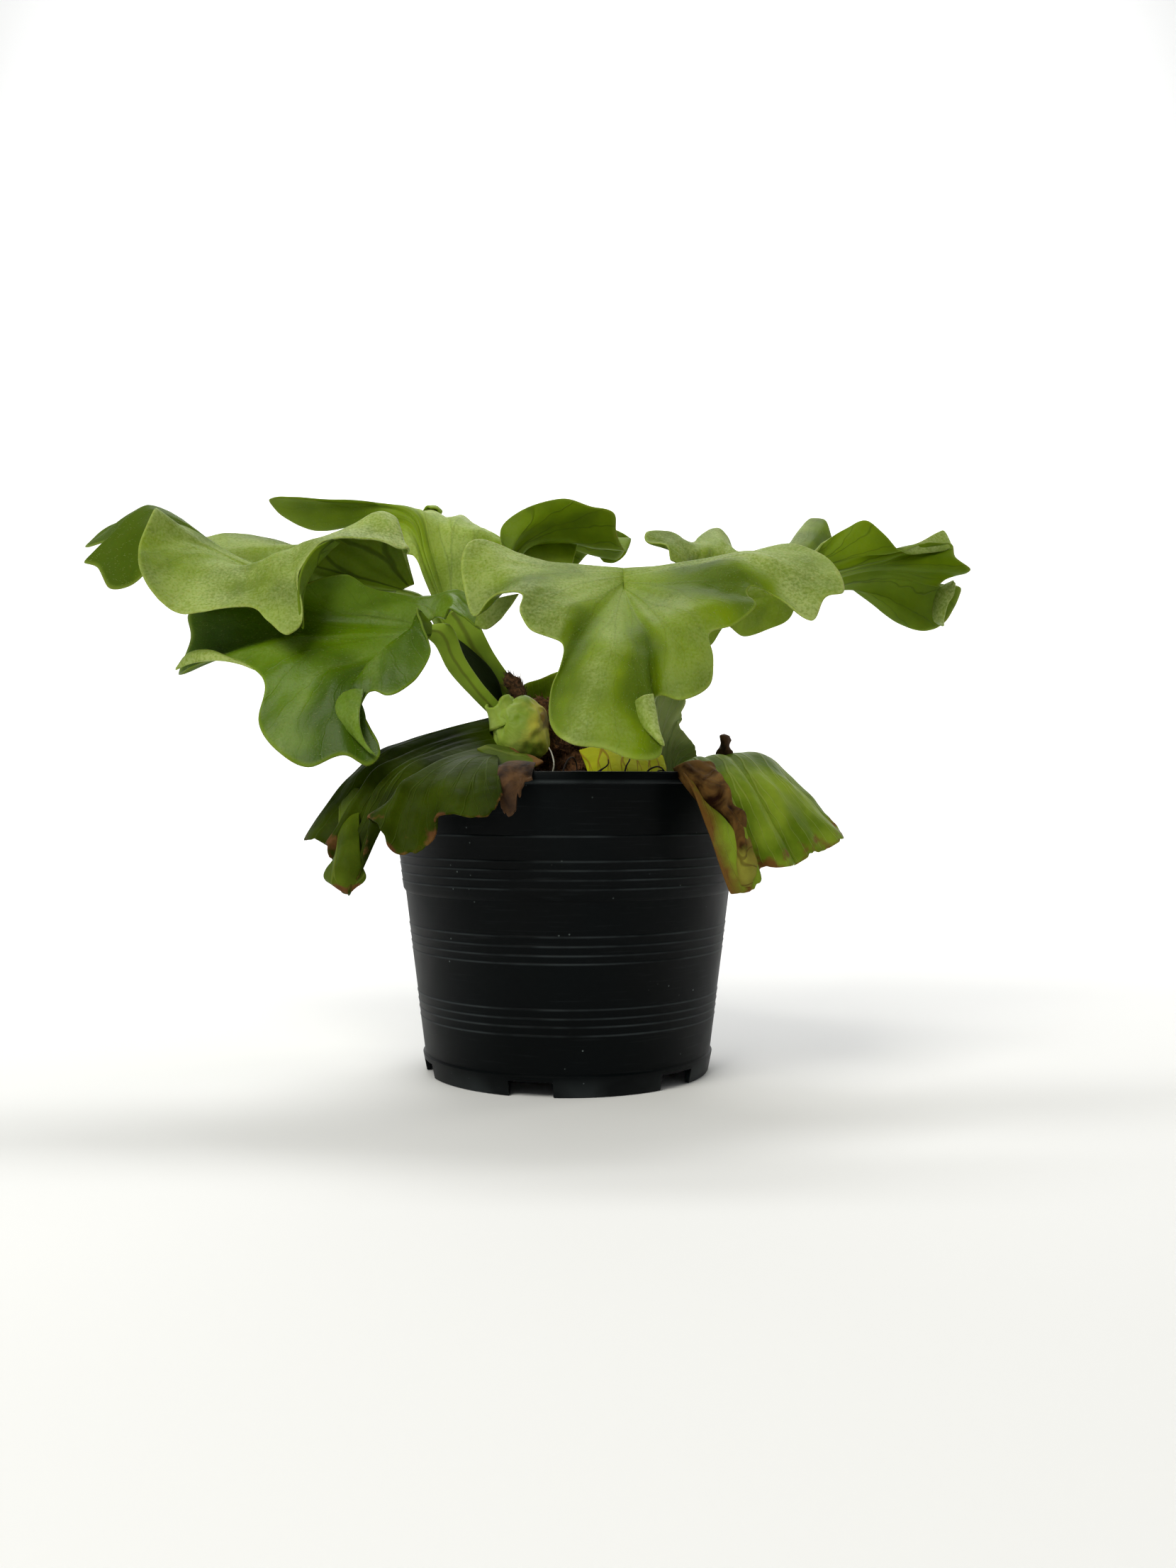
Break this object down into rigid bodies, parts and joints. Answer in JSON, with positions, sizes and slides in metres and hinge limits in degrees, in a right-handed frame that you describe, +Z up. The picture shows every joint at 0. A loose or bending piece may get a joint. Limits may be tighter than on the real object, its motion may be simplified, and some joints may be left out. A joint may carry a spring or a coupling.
{
  "type": "potted staghorn fern",
  "caption": "Staghorn fern with long forked fronds and drooping shield fronds, rooted in a round black nursery pot.",
  "frame": {"origin": "middle of the underside of the pot's centre pad, which stands on the ground", "axes": "+Z up through the pot's axis, +X to the right along the widest spread of the fronds, +Y to the back"},
  "size_m": [0.3442, 0.1598, 0.2131],
  "materials": {
    "black_plastic": "black, semi-matte, with fine pale specks",
    "potting_mix": "dark moist bark and fibre",
    "rhizome_bark": "brown scales and hairs",
    "bloomed_leaf": "light green with a pale mealy bloom",
    "glossy_leaf": "darker green, slightly glossy",
    "shield_leaf": "pleated green with browned torn edges",
    "yellow_leaf": "yellowing green",
    "dead_leaf": "dry brown"
  },
  "bodies": {
    "root": {"pot": "black_plastic", "soil": "potting_mix", "rhizome": "rhizome_bark", "frond_left_upper": "bloomed_leaf", "frond_left_lower": "glossy_leaf", "frond_centre_back": "bloomed_leaf", "frond_front": "bloomed_leaf", "frond_right": "glossy_leaf", "shield_left": "shield_leaf", "shield_right": "shield_leaf", "shield_young": "shield_leaf", "shield_yellow": "yellow_leaf", "shield_right_back": "shield_leaf", "shield_back": "bloomed_leaf", "dead_stub_crown": "dead_leaf", "dead_stub_right": "dead_leaf", "dead_scrap": "dead_leaf"}
  },
  "joints": []
}
